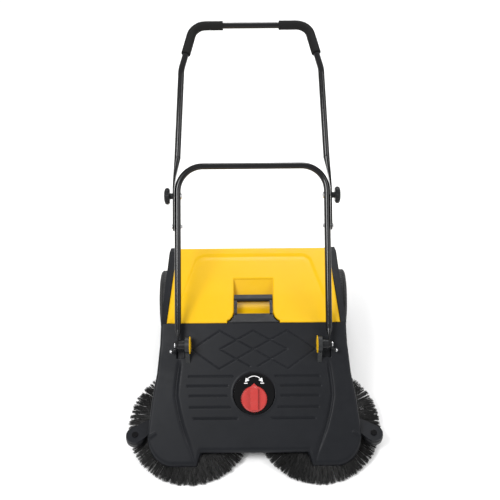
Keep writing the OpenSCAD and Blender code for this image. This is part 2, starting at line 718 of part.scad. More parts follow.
module brush_spindles() color("silver") for (side = [-1, 1]) on_side(side) brush_frame() {
    translate([0, 0, plate_z - 8]) cylinder(h = bracket_z + 2.5 - plate_z + 8, r = spindle_r, $fn = fine);
    translate([0, 0, plate_z - 13]) cylinder(h = 5, r = 11, $fn = fine);
}

module brush_plate(side) color([0.13, 0.13, 0.14]) on_side(side) brush_frame() difference() {
    union() {
        translate([0, 0, plate_z]) cylinder(h = plate_t, r = plate_r, $fn = fine);
        translate([0, 0, plate_z - 7]) cylinder(h = 8, r = 16, $fn = fine);
        translate([0, 0, plate_z]) cylinder(h = crown_z - plate_z, r = crown_r + 4, $fn = fine);
        for (k = [0 : crown_teeth - 1]) rotate([0, 0, (k + 0.5) * 360 / crown_teeth])
            translate([crown_r - 3.5, -1, crown_z - 1]) cube([7, 2, tooth_h + 1]);
    }
    translate([0, 0, -1]) cylinder(h = 80, r = spindle_r + run, $fn = fine);
    translate([0, 0, plate_z + 6]) difference() {
        cylinder(h = crown_z, r = crown_r - 5, $fn = fine);
        cylinder(h = crown_z, r = 11, $fn = fine);
    }
}

module bristles(side) color([0.09, 0.09, 0.10]) on_side(side) brush_frame() rotate_extrude($fn = 96) polygon([
    [plate_r - 24, plate_z], [plate_r, plate_z], [plate_r, plate_z + plate_t - 1], [plate_r + 4,
        plate_z + plate_t - 1],
    [brush_r, tip_h], [brush_r, 0], [brush_r - 34, 0]]);

// ---- roller brush ----

module roller_core() color([0.16, 0.16, 0.17]) union() {
    rod_x(-tub_in + 6, tub_in - 6, roller_y, roller_z, core_r);
    rod_x(-belt_a0 - belt_w - 4, belt_a0 + belt_w + 4, roller_y, roller_z, axle_r);
    for (side = [-1, 1]) on_side(side)
        rod_x(belt_a0, belt_a0 + belt_w, roller_y, roller_z, roller_pulley_r - gap);
}

roller_rows = 8;
row_t = 12;

module roller_bristles() color([0.09, 0.09, 0.10]) difference() {
    intersection() {
        for (k = [0 : roller_rows - 1]) translate([0, roller_y, roller_z])
            rotate([k * 360 / roller_rows, 0, 0])
            translate([-tub_in + 10, -row_t / 2, core_r - 4])
                cube([2 * tub_in - 20, row_t, roller_r - core_r + 8]);
        rod_x(-tub_in, tub_in, roller_y, roller_z, roller_r);
    }
    rod_x(-300, 300, roller_y, roller_z, core_r);
}

// ---- height adjustment ----

module height_knob() color([0.84, 0.30, 0.28]) cover_frame(dial_s)
    translate([0, -knob_off, dial_z + 3 + gap]) {
    cylinder(h = 9, r1 = dial_r, r2 = dial_r - 2, $fn = fine);
    translate([0, 0, 9]) cylinder(h = 3, r1 = dial_r - 2, r2 = dial_r - 6, $fn = fine);
    difference() {
        translate([-11, -dial_r + 7, 8]) cube([22, 2 * dial_r - 14, 16]);
        translate([0, 0, 44]) rotate([90, 0, 0]) cylinder(h = 200, r = 20, center = true, $fn = fine);
    }
    linear_extrude(9) polygon([[-12, dial_r - 4], [12, dial_r - 4], [0, dial_r + 7]]);
}

module height_spindle() color("silver") cover_frame(dial_s) translate([0, -knob_off, 0]) {
    translate([0, 0, -44]) cylinder(h = 44 + dial_z + 3 + gap, r = pin_r, $fn = fine);
    for (k = [0 : 9]) rotate([0, 0, k * 36]) translate([0, 0, -38])
        tooth(pin_r - 1, pin_r + 3.4, 1.5, 0.9, 10);
}

rack_x = 13.2;
module height_rack() color([0.78, 0.79, 0.80]) cover_frame(dial_s) translate([0, -knob_off, -43]) {
    translate([rack_x, -50, 0]) cube([8, 100, 10]);
    for (k = [-5 : 5]) translate([rack_x, (k + 0.5) * 6.2, 0]) linear_extrude(10)
        polygon([[0.5, -1.5], [-3.4, -0.9], [-3.4, 0.9], [0.5, 1.5]]);
}

// ---- hopper ----

module hopper_outer(d) {
    // Top tray, tapering to the rear
    intersection() {
        profile_x(-300, 300)
            polygon([[cover_rear_y + seam + d, top_z(cover_rear_y) - flange - (d > 0 ? 1 : 0)],
            [cover_rear_y + seam + d, top_z(cover_rear_y) - d], [hopper_rear_y - d, top_z(hopper_rear_y) - d],
            [hopper_rear_y + 20 - d, top_z(hopper_rear_y) - 20 - (d > 0 ? 1 : 0)],
            [hopper_rear_y - 40, top_z(hopper_rear_y) - flange - 10 - (d > 0 ? 1 : 0)]]);
        translate([0, 0, 0]) linear_extrude(400) polygon([
            [-hopper_half_front + d, cover_rear_y], [hopper_half_front - d, cover_rear_y],
            [hopper_half_rear - d, hopper_rear_y], [hopper_half_rear - 3 - d, hopper_rear_y + 21],
            [-hopper_half_rear + 3 + d, hopper_rear_y + 21], [-hopper_half_rear + d, hopper_rear_y]]);
    }
    // Bin under the tray
    profile_x(-hopper_low + d, hopper_low - d) polygon([
        [cover_rear_y + 6 + d, top_z(cover_rear_y) - 4 - d],
        [cover_rear_y + 6 + d, top_z(cover_rear_y) - 32 + d],
        [-56 + d * 0.5, 158 + d], [-26 + d, 130], [-26 + d, hopper_floor + d],
        [hopper_rear_y + 20 - d, hopper_floor + d],
        [hopper_rear_y + 26 - d, 150], [hopper_rear_y + 18 - d, top_z(hopper_rear_y) - 22],
        [hopper_rear_y - 4 - d, top_z(hopper_rear_y) - 4 - d]]);
}

module pocket(d) profile_x(-pocket_half - d, pocket_half + d) polygon([
    [pocket_y0 - d, cover_rear_z + 40], [pocket_y0 - d, top_z(pocket_y0) - pocket_d - d],
    [pocket_y0 + 70, top_z(pocket_y0) - pocket_d - d], [pocket_y1 + d, top_z(pocket_y1) - 2],
    [pocket_y1 + d, cover_rear_z + 40]]);

module hopper() color([0.98, 0.82, 0.18]) difference() {
    union() {
        difference() {
            hopper_outer(0);
            hopper_outer(hopper_wall);
        }
        intersection() {
            hopper_outer(0);
            pocket(hopper_wall);
        }
    }
    pocket(0);
    // Seat of the bail's tongue, and the groove of its hinge
    tongue_room();
    // Mouth that faces the roller
    translate([-hopper_low + 12, -70, 52]) cube([2 * hopper_low - 24, 60, 66]);
}

module tongue_room() translate([0, hinge_y, hinge_z - 4]) linear_extrude(60) polygon([
    [-79, -7], [79, -7], [79, 4], [71.5, 8.5], [64, 18.5], [pocket_half + 1, pocket_y0 - hinge_y + 1],
    [-pocket_half - 1, pocket_y0 - hinge_y + 1], [-64, 18.5], [-71.5, 8.5], [-79, 4]]);

module hopper_seal() color([0.06, 0.06, 0.06]) difference() {
    translate([-hopper_low + 4, -30, 44]) cube([2 * hopper_low - 8, 4, 82]);
    translate([-hopper_low + 12, -40, 52]) cube([2 * hopper_low - 24, 20, 66]);
}

module hopper_bail() color([0.13, 0.13, 0.14]) {
    rod_x(-76, 76, hinge_y, hinge_z + 0.6, 3.5);
    translate([0, hinge_y, hinge_z - 1.4]) linear_extrude(5.5) polygon([
        [-76, 0], [76, 0], [68, 5], [61, 16], [pocket_half - 1.5, pocket_y0 - hinge_y],
        [-pocket_half + 1.5, pocket_y0 - hinge_y], [-61, 16], [-68, 5]]);
    for (side = [-1, 1]) translate([side * (pocket_half - 6) - 4.5, pocket_y0 - 2, hinge_z - 1.4])
        cube([9, bail_bar_y - bail_w / 2 - pocket_y0 + 4, 8]);
    profile_x(-pocket_half + 1.5, pocket_half - 1.5) translate([bail_bar_y, hinge_z + 3]) polygon([
        [-bail_w / 2, -3], [-bail_w / 2 + 4, -7], [bail_w / 2 - 4, -7], [bail_w / 2, -3], [bail_w / 2, 3],
        [bail_w / 2 - 4, 7], [-bail_w / 2 + 4, 7], [-bail_w / 2, 3]]);
}

centred() chassis_tub();
centred() front_cover();
centred() side_panel(-1);  // side_panel_left
centred() side_panel(1);  // side_panel_right
centred() dial_plate();
centred() cover_screws();
centred() wing(-1);  // wing_left
centred() wing(1);  // wing_right
centred() guide_pins();
centred() pivot_ear(-1);  // pivot_ear_left
centred() pivot_ear(1);  // pivot_ear_right
centred() pivot_cap(-1);  // pivot_cap_left
centred() pivot_cap(1);  // pivot_cap_right
centred() pivot_bolts();
centred() axle_stubs();
centred() dirt_lip();
centred() drive_belts();
centred() brush_belts();
centred() gear_bracket(-1);  // gear_bracket_left
centred() gear_bracket(1);  // gear_bracket_right
centred() brush_spindles();
centred() lower_handle();
centred() hub(-1);  // hub_left
centred() hub(1);  // hub_right
centred() carriage_bolts();
centred() fold_screws();
centred() upper_handle();
centred() upper_end(-1);  // upper_end_left
centred() upper_end(1);  // upper_end_right
centred() grip(-1);  // grip_left
centred() grip(1);  // grip_right
centred() knob(-1);  // knob_left
centred() knob(1);  // knob_right
centred() clamp_lever(-1);  // clamp_lever_left
centred() clamp_lever(1);  // clamp_lever_right
centred() wheel(-1);  // wheel_left
centred() tyre(-1);  // tyre_left
centred() hub_cap(-1);  // hub_cap_left
centred() wheel(1);  // wheel_right
centred() tyre(1);  // tyre_right
centred() hub_cap(1);  // hub_cap_right
centred() jack_shaft(-1);  // jack_shaft_left
centred() jack_shaft(1);  // jack_shaft_right
centred() bevel_shaft(-1);  // bevel_shaft_left
centred() bevel_shaft(1);  // bevel_shaft_right
centred() brush_plate(-1);  // brush_plate_left
centred() bristles(-1);  // bristles_left
centred() brush_plate(1);  // brush_plate_right
centred() bristles(1);  // bristles_right
centred() roller_core();
centred() roller_bristles();
centred() guide_roller(-1);  // guide_roller_left
centred() guide_roller(1);  // guide_roller_right
centred() height_knob();
centred() height_spindle();
centred() height_rack();
centred() hopper();
centred() hopper_seal();
centred() hopper_bail();
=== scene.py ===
import bpy
import bmesh
import json
import math
import random
import numpy as np
from mathutils import Matrix, Vector

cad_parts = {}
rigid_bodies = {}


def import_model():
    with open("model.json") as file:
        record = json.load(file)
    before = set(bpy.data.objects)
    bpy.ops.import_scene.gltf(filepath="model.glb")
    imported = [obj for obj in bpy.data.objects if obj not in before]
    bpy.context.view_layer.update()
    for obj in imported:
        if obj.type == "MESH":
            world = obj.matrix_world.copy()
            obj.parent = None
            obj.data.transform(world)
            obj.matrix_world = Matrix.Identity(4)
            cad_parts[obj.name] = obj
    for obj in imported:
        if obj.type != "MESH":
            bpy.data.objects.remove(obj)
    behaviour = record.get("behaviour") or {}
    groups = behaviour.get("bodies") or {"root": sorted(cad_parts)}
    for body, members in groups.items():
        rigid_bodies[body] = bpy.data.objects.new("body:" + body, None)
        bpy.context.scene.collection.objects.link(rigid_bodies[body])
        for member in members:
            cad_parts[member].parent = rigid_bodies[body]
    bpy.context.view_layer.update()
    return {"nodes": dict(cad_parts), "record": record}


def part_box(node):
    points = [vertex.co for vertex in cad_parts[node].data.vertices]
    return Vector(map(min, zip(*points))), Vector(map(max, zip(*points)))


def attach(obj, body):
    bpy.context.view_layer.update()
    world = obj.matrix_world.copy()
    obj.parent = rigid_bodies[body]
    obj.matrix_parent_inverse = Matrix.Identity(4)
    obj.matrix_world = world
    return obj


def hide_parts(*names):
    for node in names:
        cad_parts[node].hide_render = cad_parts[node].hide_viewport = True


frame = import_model()
scene = bpy.context.scene
MM = 0.001

# ---------------------------------------------------------------- places taken from the frame


def joint(name):
    """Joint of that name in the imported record."""
    return next(j for j in frame["record"]["behaviour"]["joints"] if j["name"] == name)


COVER_LO, COVER_HI = (Vector(c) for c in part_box("front_cover"))
DIAL_AXIS = Vector(joint("height_turn")["axis"])
TILT = Vector(joint("handle_tilt")["pos_m"])
FOLD = Vector(joint("handle_fold")["pos_m"])
LEG_DIR = (FOLD - TILT).normalized()
LEG_UP = Vector((1, 0, 0)).cross(LEG_DIR)
SLOPE = math.acos(DIAL_AXIS.z)
REAR_Y = COVER_HI.y
REAR_Z = COVER_HI.z
LOBE_Y = COVER_LO.y

# Sizes of the front cover that its box doesn't give
HALF_REAR = 0.277
FRONT_Y = LOBE_Y + 0.030                # front edge between the lobes
SKIRT_LOW = 0.033                       # lower edge of the skirt at the lobes' front
FRONT_LOW = 0.054                       # lower edge of the skirt between the lobes
LOBE_IN = 0.158                         # inner edge of a lobe
LOBE_SLANT = 0.012                      # how far that edge slants outwards
LOBE_CORNER = 0.076
BRUSH_TILT = math.radians(11.6)

# Hopper top, its pocket, and the round recess for the dial plate
HOPPER_FRONT = 0.259                    # half widths
HOPPER_REAR = 0.241
HOPPER_LEN = 0.286
HOPPER_RISE = 0.030
POCKET_HALF = 0.0605
POCKET_FRONT = REAR_Y + 0.038
POCKET_REAR = REAR_Y + 0.164
HINGE_Y = REAR_Y + 0.006
DIAL_S = 0.208                          # down the slope from the cover's rear edge
WELL_R = 0.0602


def side_word(side):
    return "right" if side > 0 else "left"


# ---------------------------------------------------------------- materials


def new_material(name):
    """New material with its nodes, links and Principled shader."""
    mat = bpy.data.materials.new(name)
    mat.use_nodes = True
    nodes = mat.node_tree.nodes
    return mat, nodes, mat.node_tree.links, nodes["Principled BSDF"]


def noise(nodes, links, scale, detail=3.0, rough=0.55):
    """Noise over the piece's own coordinates."""
    coords = nodes.new("ShaderNodeTexCoord")
    tex = nodes.new("ShaderNodeTexNoise")
    tex.inputs["Scale"].default_value = scale
    tex.inputs["Detail"].default_value = detail
    tex.inputs["Roughness"].default_value = rough
    links.new(coords.outputs["Object"], tex.inputs["Vector"])
    return tex.outputs["Fac"]


def ramp(nodes, links, source, low, high, at=(0.35, 0.65)):
    """Colour that runs from low to high as the source crosses the two values of at."""
    node = nodes.new("ShaderNodeValToRGB")
    node.color_ramp.elements[0].position = at[0]
    node.color_ramp.elements[1].position = at[1]
    node.color_ramp.elements[0].color = low
    node.color_ramp.elements[1].color = high
    links.new(source, node.inputs["Fac"])
    return node.outputs["Color"]


def grey(v):
    return (v, v, v, 1.0)


def bump(nodes, links, bsdf, source, strength, distance, edge=0.0):
    """Bump from the source; edge rounds the look of sharp edges by that radius."""
    node = nodes.new("ShaderNodeBump")
    node.inputs["Strength"].default_value = strength
    node.inputs["Distance"].default_value = distance
    links.new(source, node.inputs["Height"])
    if edge:
        soft = nodes.new("ShaderNodeBevel")
        soft.samples = 4
        soft.inputs["Radius"].default_value = edge
        links.new(soft.outputs["Normal"], node.inputs["Normal"])
    links.new(node.outputs["Normal"], bsdf.inputs["Normal"])


def moulded(name, colour, rough, grain=900.0, depth=0.00012, spread=0.12, coat=0.0, edge=0.0012,
            shade=0.12, shine=0.5):
    """Moulded plastic: fine spark-eroded grain, slow changes of colour and gloss, worn softer edges."""
    mat, nodes, links, bsdf = new_material(name)
    low = tuple(c * (1 - shade) for c in colour) + (1.0,)
    high = tuple(min(1.0, c * (1 + shade)) for c in colour) + (1.0,)
    tone = ramp(nodes, links, noise(nodes, links, 9.0, 5.0), low, high, (0.3, 0.7))
    links.new(tone, bsdf.inputs["Base Color"])
    patches = noise(nodes, links, 45.0, 6.0, 0.65)
    gloss = ramp(nodes, links, patches, grey(rough - spread / 2), grey(rough + spread / 2))
    links.new(gloss, bsdf.inputs["Roughness"])
    bump(nodes, links, bsdf, noise(nodes, links, grain, 2.0), 0.35, depth, edge)
    bsdf.inputs["Specular IOR Level"].default_value = shine
    bsdf.inputs["Coat Weight"].default_value = coat
    bsdf.inputs["Coat Roughness"].default_value = 0.12
    return mat


def metal(name, colour, rough):
    """Bare metal with fine scratches and patches of different gloss."""
    mat, nodes, links, bsdf = new_material(name)
    bsdf.inputs["Metallic"].default_value = 1.0
    low = tuple(c * 0.85 for c in colour) + (1.0,)
    tone = ramp(nodes, links, noise(nodes, links, 60.0, 6.0), low, colour + (1.0,))
    links.new(tone, bsdf.inputs["Base Color"])
    patches = noise(nodes, links, 120.0, 6.0, 0.7)
    gloss = ramp(nodes, links, patches, grey(rough - 0.08), grey(rough + 0.1))
    links.new(gloss, bsdf.inputs["Roughness"])
    bump(nodes, links, bsdf, noise(nodes, links, 400.0, 3.0), 0.2, 0.00008, 0.0006)
    return mat


def powder_coat(name, colour):
    """Gloss powder coat with a slight orange peel."""
    mat, nodes, links, bsdf = new_material(name)
    high = tuple(c * 1.6 for c in colour) + (1.0,)
    tone = ramp(nodes, links, noise(nodes, links, 14.0, 4.0), colour + (1.0,), high)
    links.new(tone, bsdf.inputs["Base Color"])
    gloss = ramp(nodes, links, noise(nodes, links, 70.0, 5.0), grey(0.12), grey(0.16))
    links.new(gloss, bsdf.inputs["Roughness"])
    bump(nodes, links, bsdf, noise(nodes, links, 90.0, 1.0), 0.03, 0.00002)
    bsdf.inputs["Specular IOR Level"].default_value = 0.3
    bsdf.inputs["Coat Weight"].default_value = 0.1
    bsdf.inputs["Coat Roughness"].default_value = 0.06
    return mat


def foam_material(name):
    """Closed-cell foam with small pores."""
    mat, nodes, links, bsdf = new_material(name)
    cells = nodes.new("ShaderNodeTexVoronoi")
    cells.inputs["Scale"].default_value = 900.0
    coords = nodes.new("ShaderNodeTexCoord")
    links.new(coords.outputs["Object"], cells.inputs["Vector"])
    tone = ramp(nodes, links, cells.outputs["Distance"], grey(0.003), grey(0.009), (0.1, 0.7))
    links.new(tone, bsdf.inputs["Base Color"])
    bsdf.inputs["Roughness"].default_value = 0.85
    bsdf.inputs["Specular IOR Level"].default_value = 0.2
    bump(nodes, links, bsdf, cells.outputs["Distance"], 0.6, 0.0004)
    return mat


def filament_material(name):
    """Polypropylene filament, each one a little different in shade; the scattered lighter strands are painted
    glints.
    """
    mat, nodes, links, bsdf = new_material(name)
    # Painted highlight: the lighter strands that the noise picks out stand in for glints on the filaments;
    # most strands stay near black
    tone = ramp(nodes, links, noise(nodes, links, 260.0, 2.0), grey(0.002), grey(0.05), (0.5, 0.85))
    links.new(tone, bsdf.inputs["Base Color"])
    bsdf.inputs["Roughness"].default_value = 0.36
    bsdf.inputs["Specular IOR Level"].default_value = 0.4
    bump(nodes, links, bsdf, noise(nodes, links, 1500.0, 1.0), 0.2, 0.0001)
    return mat


def rubber(name, colour, rough):
    return moulded(name, colour, rough, grain=500.0, depth=0.0002, spread=0.1, edge=0.001, shade=0.2)


MATERIALS = {
    "black_plastic": moulded("black_plastic", (0.0075, 0.0083, 0.0105), 0.44, grain=700.0, depth=0.00018,
                             shine=0.16),
    "dark_plastic": moulded("dark_plastic", (0.007, 0.0075, 0.0085), 0.38, shine=0.25),
    "grey_plastic": moulded("grey_plastic", (0.018, 0.019, 0.02), 0.42, shine=0.3),
    "yellow_plastic": moulded("yellow_plastic", (0.66, 0.385, 0.002), 0.34, grain=500.0, depth=0.00008,
                              coat=0.05, shade=0.03, shine=0.22),
    "red_plastic": moulded("red_plastic", (0.42, 0.030, 0.026), 0.26, grain=600.0, depth=0.00006,
                           coat=0.4, shade=0.10, shine=0.3),
    "gloss_black": moulded("gloss_black", (0.003, 0.003, 0.0035), 0.16, grain=300.0, depth=0.00003,
                           spread=0.06, coat=0.08, shine=0.1),
    "tube_paint": powder_coat("tube_paint", (0.003, 0.003, 0.0035)),
    "upper_tube": powder_coat("upper_tube", (0.003, 0.003, 0.0035)),
    "foam": foam_material("foam"),
    "steel": metal("steel", (0.62, 0.62, 0.63), 0.28),
    "seal_rubber": rubber("seal_rubber", (0.014, 0.014, 0.014), 0.62),
    "tyre_rubber": rubber("tyre_rubber", (0.016, 0.016, 0.017), 0.6),
    "bristle": filament_material("bristle"),
}
WHITE_PRINT = moulded("white_print", (0.8, 0.8, 0.8), 0.4, edge=0.0, shade=0.02)

SLOT_OF = {s["node"]: s["material_slot"] for s in frame["record"]["subparts"]}
for node_name, node in frame["nodes"].items():
    parts = [node] if node.type == "MESH" else [c for c in node.children_recursive if c.type == "MESH"]
    for part in parts:
        if not part.material_slots:
            part.data.materials.append(None)
        for material_slot in part.material_slots:
            material_slot.material = MATERIALS[SLOT_OF[node_name]]

# ---------------------------------------------------------------- mesh helpers


def add_object(name, data):
    obj = bpy.data.objects.new(name, data)
    scene.collection.objects.link(obj)
    return obj


def make_object(name, verts, faces, slot_name, body, smooth=True, replaced=()):
    mesh = bpy.data.meshes.new(name)
    mesh.from_pydata([tuple(v) for v in verts], [], faces)
    mesh.update()
    obj = add_object(name, mesh)
    finish_piece(obj, slot_name, body, smooth, replaced)
    return obj


def finish_piece(obj, slot_name, body, smooth=True, replaced=()):
    """Give the piece its material, its body and the CAD nodes that it stands for."""
    obj.data.materials.clear()
    obj.data.materials.append(MATERIALS.get(slot_name) or WHITE_PRINT)
    for poly in obj.data.polygons:
        poly.use_smooth = smooth
    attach(obj, body)
    if replaced:
        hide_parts(*replaced)


def fix_normals(obj):
    """Merge doubled vertices and turn all faces outwards."""
    bm = bmesh.new()
    bm.from_mesh(obj.data)
    bmesh.ops.remove_doubles(bm, verts=bm.verts, dist=1e-6)
    bmesh.ops.recalc_face_normals(bm, faces=bm.faces)
    bm.to_mesh(obj.data)
    bm.free()


def drop_border(mesh, lower):
    """Extrude the open border of the mesh, and place each new vertex with lower(vertex)."""
    bm = bmesh.new()
    bm.from_mesh(mesh)
    border = [e for e in bm.edges if e.is_boundary]
    new = bmesh.ops.extrude_edge_only(bm, edges=border)["geom"]
    for v in (g for g in new if isinstance(g, bmesh.types.BMVert)):
        lower(v)
    bmesh.ops.recalc_face_normals(bm, faces=bm.faces)
    bm.to_mesh(mesh)
    bm.free()


def smooth_by_angle(obj, degrees):
    """Smooth shading with edges sharper than that kept crisp."""
    obj.data.set_sharp_from_angle(angle=math.radians(degrees))


def spread(first, last, count):
    """Evenly spaced plain floats from first to last."""
    return [float(v) for v in np.linspace(first, last, count)]


def step(x):
    """Smooth rise from 0 to 1."""
    x = np.clip(x, 0.0, 1.0)
    return x * x * (3 - 2 * x)


def distance_to_segments(x, y, segments):
    """Distance from each point (x, y) to the nearest of the segments."""
    best = np.full(x.shape, 1e9)
    for (ax, ay), (bx, by) in segments:
        dx, dy = bx - ax, by - ay
        t = np.clip(((x - ax) * dx + (y - ay) * dy) / (dx * dx + dy * dy), 0, 1)
        best = np.minimum(best, np.hypot(x - ax - t * dx, y - ay - t * dy))
    return best


def tube(path, radius, sides, radii=None):
    """Vertices and faces of a closed tube along path, a list of Vectors; radii gives one radius per point."""
    verts, faces = [], []
    side_axis = None
    for i, p in enumerate(path):
        ahead = (path[min(i + 1, len(path) - 1)] - path[max(i - 1, 0)]).normalized()
        if side_axis is None:
            guess = Vector((0, 0, 1)) if abs(ahead.z) < 0.9 else Vector((1, 0, 0))
            side_axis = ahead.cross(guess).normalized()
        side_axis = (side_axis - ahead * side_axis.dot(ahead)).normalized()
        other = ahead.cross(side_axis)
        r = radii[i] if radii else radius
        for k in range(sides):
            a = 2 * math.pi * k / sides
            verts.append(p + r * (math.cos(a) * side_axis + math.sin(a) * other))
    for i in range(len(path) - 1):
        for k in range(sides):
            a, b = i * sides + k, i * sides + (k + 1) % sides
            faces.append((a, b, b + sides, a + sides))
    faces.append(tuple(range(sides - 1, -1, -1)))
    last = (len(path) - 1) * sides
    faces.append(tuple(range(last, last + sides)))
    return verts, faces


# ---------------------------------------------------------------- camera, light and floor


scene.view_settings.view_transform = "Standard"


def add_camera():
    """Camera in front of the sweeper, looking down at it."""
    focal_px = 842.0
    frame_px = 500.0
    target = Vector((0.0, -0.0255, 0.449))
    distance = 2.5
    elevation = math.radians(45)
    data = bpy.data.cameras.new("camera")
    data.sensor_width = 36.0
    data.lens = focal_px / frame_px * data.sensor_width
    data.shift_x = -2.8 / frame_px
    cam = add_object("camera", data)
    cam.location = target + distance * Vector((0, -math.cos(elevation), math.sin(elevation)))
    roll = Matrix.Rotation(math.radians(-0.52), 4, "Z")
    look = (target - cam.location).to_track_quat("-Z", "Y").to_matrix().to_4x4()
    cam.matrix_world = Matrix.Translation(cam.location) @ look @ roll
    scene.camera = cam


def add_light(name, place, size, energy):
    """Round soft light at place, turned to the sweeper's body."""
    target = Vector((0, 0, 0.2))
    data = bpy.data.lights.new(name, "AREA")
    data.shape = "DISK"
    data.size = size
    data.energy = energy
    obj = add_object(name, data)
    obj.location = place
    obj.rotation_euler = (target - Vector(place)).to_track_quat("-Z", "Y").to_euler()


def add_stage():
    """Plain pale floor, an even white surround and three soft lights."""
    mesh = bpy.data.meshes.new("floor")
    half = 9.0
    corners = [(-half, -half, 0), (half, -half, 0), (half, half, 0), (-half, half, 0)]
    mesh.from_pydata(corners, [], [(0, 1, 2, 3)])
    floor = add_object("floor", mesh)
    mat, nodes, links, bsdf = new_material("floor")
    links.new(ramp(nodes, links, noise(nodes, links, 2.0), grey(0.93), grey(0.96)), bsdf.inputs["Base Color"])
    bsdf.inputs["Roughness"].default_value = 0.8
    mesh.materials.append(mat)
    world = bpy.data.worlds.new("studio")
    scene.world = world
    world.use_nodes = True
    background = world.node_tree.nodes["Background"]
    background.inputs["Color"].default_value = (1, 1, 1, 1)
    background.inputs["Strength"].default_value = 0.66
    add_light("key", (-1.4, -1.5, 2.9), 1.4, 82.0)
    add_light("fill", (2.0, -0.8, 2.3), 1.8, 26.0)
    add_light("back", (0.3, 2.3, 2.4), 1.5, 42.0)


# ---------------------------------------------------------------- front cover


def cover_half_width(y):
    """Half width of the cover's plan outline at y."""
    knots = [(0, HALF_REAR), (-0.046, 0.279), (-0.113, 0.288), (-0.180, 0.303), (-0.262, 0.315),
             (-0.4, 0.315)]
    corner = LOBE_CORNER
    s = y - REAR_Y
    w = np.interp(-s, [-k[0] for k in knots], [k[1] for k in knots])
    into = np.clip(LOBE_Y + corner - y, 0, corner)
    return w - corner + np.sqrt(np.maximum(corner ** 2 - into ** 2, 0))


def cover_inner(y):
    """Inner edge of a lobe at y; the middle of the cover ends at FRONT_Y."""
    return LOBE_IN + LOBE_SLANT * np.clip((FRONT_Y - y) / (FRONT_Y - LOBE_Y), 0, 1)


def cover_relief(x, s):
    """Height of the moulded relief at x across and s down the slope, in metres."""
    # Three overlapping diamonds, in millimetres
    left = [(-184, 77), (-100, 22), (0, 77), (-102, 135)]
    centre = [(-100, 77), (0, 22), (100, 77), (0, 135)]
    diamonds = [left, centre, [(-a, b) for a, b in left]]
    lines = []
    for d in diamonds:
        lines += [(d[i], d[(i + 1) % 4]) for i in range(4)]
    lines = [((a[0] * MM, a[1] * MM), (b[0] * MM, b[1] * MM)) for a, b in lines]
    h = -0.0016 * (1 - step((distance_to_segments(x, s, lines) - 0.0006) / 0.0016))
    # Grooves on both sides: place down the slope, inner end, outer end
    grooves = [(157, 62, 192), (185, 75, 197), (214, 80, 190), (247, 68, 189), (279, 51, 178)]
    for gs, x0, x1 in grooves:
        ends = [((sg * x0 * MM, gs * MM), (sg * x1 * MM, gs * MM)) for sg in (-1, 1)]
        d = distance_to_segments(x, s, ends)
        h -= 0.0024 * (1 - step((d - 0.0008) / 0.0030))
    # A broad soft crease divides the middle field from the two flanks
    cs = np.array([95, 110, 184, 213, 257, 302, 346, 382, 420]) * MM
    cx = np.array([218, 220, 229, 230, 222, 210, 194, 180, 170]) * MM
    off = np.abs(x) - np.interp(s, cs, cx)
    fade = step((s - 0.100) / 0.03) * (1 - 0.75 * step((s - 0.300) / 0.09))
    h -= 0.0055 * fade * np.exp(-((off / 0.0052) ** 2))
    h -= 0.0030 * step((s - 0.075) / 0.07) * step((off + 0.002) / 0.006)
    # Deep pocket under each handle pivot
    px = np.abs(np.abs(x) - 0.2165) - 0.0125
    ps = np.abs(s - 0.088) - 0.014
    h -= 0.0090 * (1 - step((np.maximum(px, ps) + 0.003) / 0.004))
    # Low ridge that runs on from the front edge of each wing
    ridge = distance_to_segments(np.abs(x), s, [((0.322, 0.339), (0.293, 0.320))])
    h += 0.0035 * np.exp(-((ridge / 0.0035) ** 2))
    return h


def edge_drop(d, radius):
    """How far a rounded border has dropped at distance d inside it."""
    into = np.clip(radius - d, 0, radius)
    return radius - np.sqrt(np.maximum(radius ** 2 - into ** 2, 0))


def lower_skirt(v):
    """Move a border vertex of the cover down to the skirt's lower edge."""
    skirt = SKIRT_LOW + (v.co.y - LOBE_Y) * math.tan(BRUSH_TILT)
    if abs(v.co.y - FRONT_Y) < 1e-5 and abs(v.co.x) < LOBE_IN - 0.004:
        skirt = FRONT_LOW
    if abs(v.co.y - REAR_Y) < 1e-5 and abs(v.co.x) < HALF_REAR - 0.002:
        skirt = v.co.z - 0.012
    v.co.z = min(skirt, v.co.z - 0.003)


